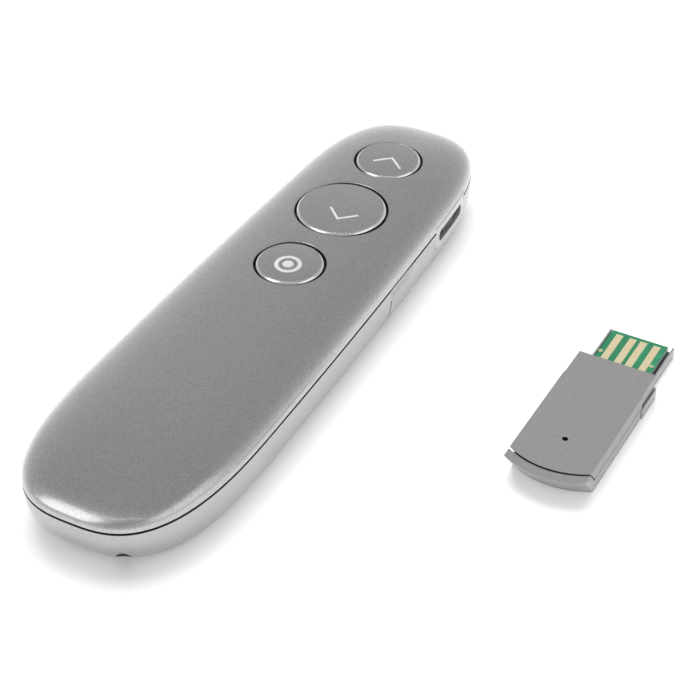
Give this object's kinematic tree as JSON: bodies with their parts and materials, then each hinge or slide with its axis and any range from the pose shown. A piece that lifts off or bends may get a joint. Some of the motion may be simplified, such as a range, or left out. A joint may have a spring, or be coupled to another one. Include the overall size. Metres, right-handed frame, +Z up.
{
  "type": "wireless presentation clicker",
  "caption": "Slim rounded presentation remote with round top buttons, side power slider, sliding battery door and a flat USB receiver lying beside it.",
  "frame": {"origin": "centre of the clicker's plan on the table, on the flat base of its lower shell", "axes": "+Y along the clicker to its laser nose, +X to its right hand side where the receiver lies, +Z up"},
  "size_m": [0.0822, 0.1236, 0.0142],
  "materials": {
    "cover_gloss": "fine metallic flake paint under a clear gloss coat, on moulded ABS",
    "shell_satin": "satin silver paint on moulded ABS",
    "button_gloss": "metallic paint with a polished bevel, on moulded ABS",
    "bezel_silver": "satin silver paint on moulded ABS",
    "dark_plastic": "fine moulded grain",
    "chip_black": "epoxy moulding compound",
    "board_green": "solder mask over glass fibre",
    "steel": "nickel plated",
    "brass": "turned",
    "gold": "hard gold plated",
    "cell_wrap": "shrink wrap",
    "lens_clear": "moulded lens",
    "window_red": "dark red filter",
    "receiver_metal": "matt metallic paint on moulded ABS",
    "receiver_silver": "satin silver paint on moulded ABS",
    "led_white": "diffused epoxy"
  },
  "bodies": {
    "clicker": {"top_cover": "cover_gloss", "bottom_housing": "shell_satin", "battery_tray": "dark_plastic", "tactile_switches": "steel", "main_board": "board_green", "radio_chip": "chip_black", "crystal_can": "steel", "board_screws": "steel", "case_screws": "steel", "switch_bezel": "bezel_silver", "switch_case": "steel", "laser_barrel": "brass", "laser_diode": "brass", "laser_lens": "lens_clear", "laser_window": "window_red", "battery_left": "cell_wrap", "battery_right": "cell_wrap", "battery_springs": "steel", "front_contacts": "steel", "bridge_contact": "steel"},
    "page_up_key": {"page_up_button": "button_gloss", "page_up_plunger": "chip_black"},
    "page_down_key": {"page_down_button": "button_gloss", "page_down_plunger": "chip_black"},
    "laser_key": {"laser_button": "button_gloss", "laser_plunger": "chip_black"},
    "power_slider": {"power_knob": "dark_plastic", "switch_stem": "chip_black"},
    "door": {"battery_door": "shell_satin"},
    "receiver": {"receiver_tray": "receiver_silver", "receiver_cover": "receiver_metal", "receiver_board": "board_green", "receiver_contacts": "gold", "receiver_chip": "chip_black", "receiver_crystal": "steel", "receiver_led": "led_white"}
  },
  "joints": [
    {"name": "page_up_press", "type": "slide", "parent": "clicker", "child": "page_up_key", "axis": [0, 0, -1], "range_m": [0, 0.0004], "stiffness_N_per_m": 2500, "springref_m": -0.0002},
    {"name": "page_down_press", "type": "slide", "parent": "clicker", "child": "page_down_key", "axis": [0, 0, -1], "range_m": [0, 0.0004], "stiffness_N_per_m": 2500, "springref_m": -0.0002},
    {"name": "laser_press", "type": "slide", "parent": "clicker", "child": "laser_key", "axis": [0, 0, -1], "range_m": [0, 0.0004], "stiffness_N_per_m": 2500, "springref_m": -0.0002},
    {"name": "power_slide", "type": "slide", "parent": "clicker", "child": "power_slider", "axis": [0, 1, 0], "range_m": [0, 0.002]},
    {"name": "door_slide", "type": "slide", "parent": "clicker", "child": "door", "axis": [0, -1, 0], "range_m": [0, 0.06]},
    {"name": "receiver_lift", "type": "slide", "parent": "clicker", "child": "receiver", "axis": [0, 0, 1], "range_m": [0, 0.06]}
  ]
}
